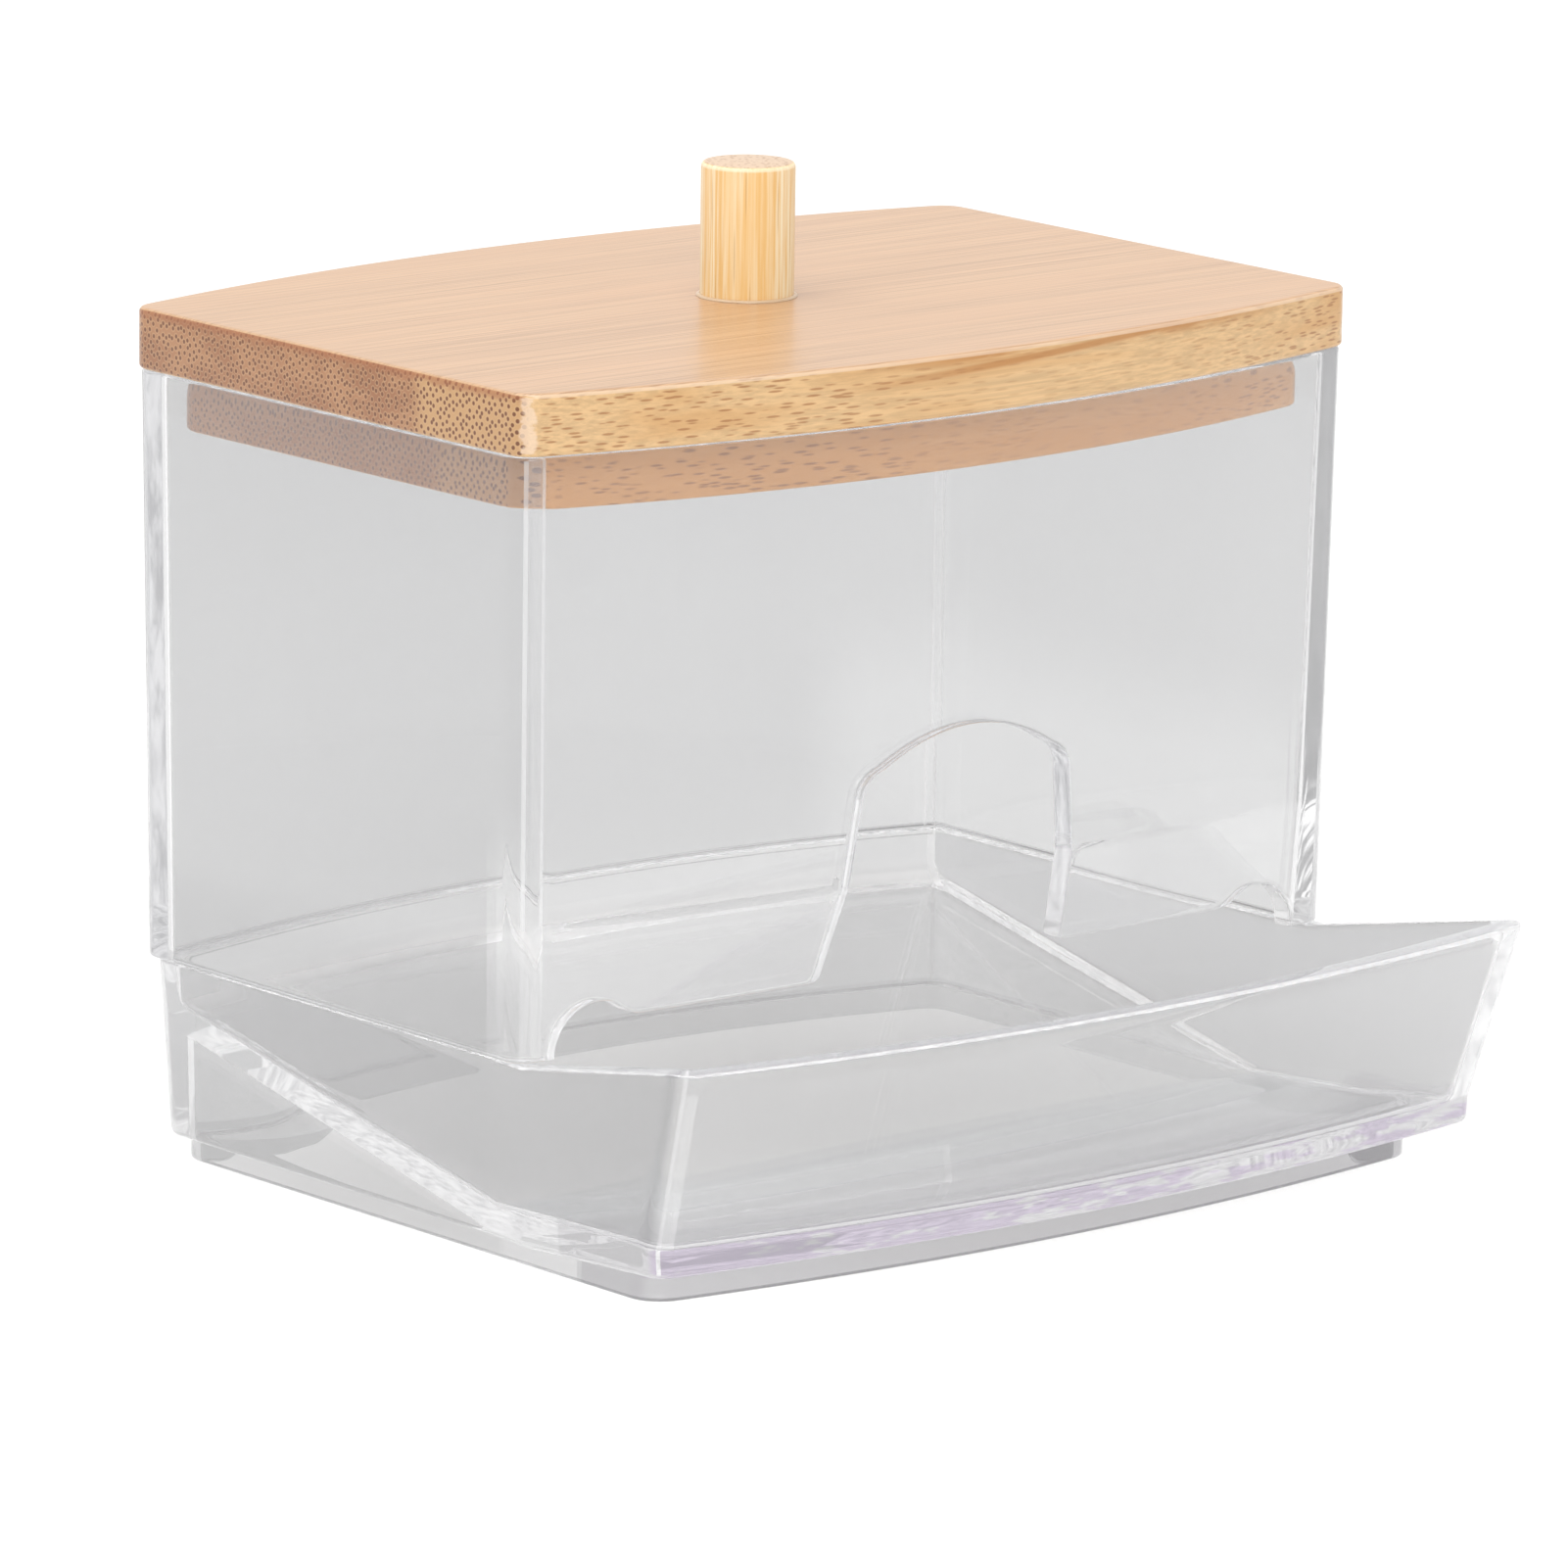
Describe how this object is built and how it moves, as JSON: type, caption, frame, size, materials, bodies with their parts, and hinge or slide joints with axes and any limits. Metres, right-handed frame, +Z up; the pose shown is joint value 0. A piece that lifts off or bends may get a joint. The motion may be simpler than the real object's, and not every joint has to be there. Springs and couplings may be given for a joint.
{
  "type": "cotton swab box",
  "caption": "Clear box with a sloping inner ramp, an arched swab opening above a flared front tray, and a lift-off bamboo lid with a dowel handle.",
  "frame": {"origin": "centre of the footprint, on the surface that the foot ring stands on", "axes": "+X to the right along the front tray, +Y from the tray towards the rear wall, +Z up"},
  "size_m": [0.1038, 0.0952, 0.0941],
  "materials": {
    "clear_plastic": "clear, polished",
    "bamboo_board": "fine sanded, satin",
    "bamboo_dowel": "fine sanded, satin"
  },
  "bodies": {
    "box": {"base_tray": "clear_plastic", "hopper": "clear_plastic"},
    "lid": {"lid_board": "bamboo_board", "handle_dowel": "bamboo_dowel"}
  },
  "joints": [
    {"name": "lid_lift", "type": "slide", "parent": "box", "child": "lid", "axis": [0, 0, 1], "range_m": [0, 0.03]}
  ]
}
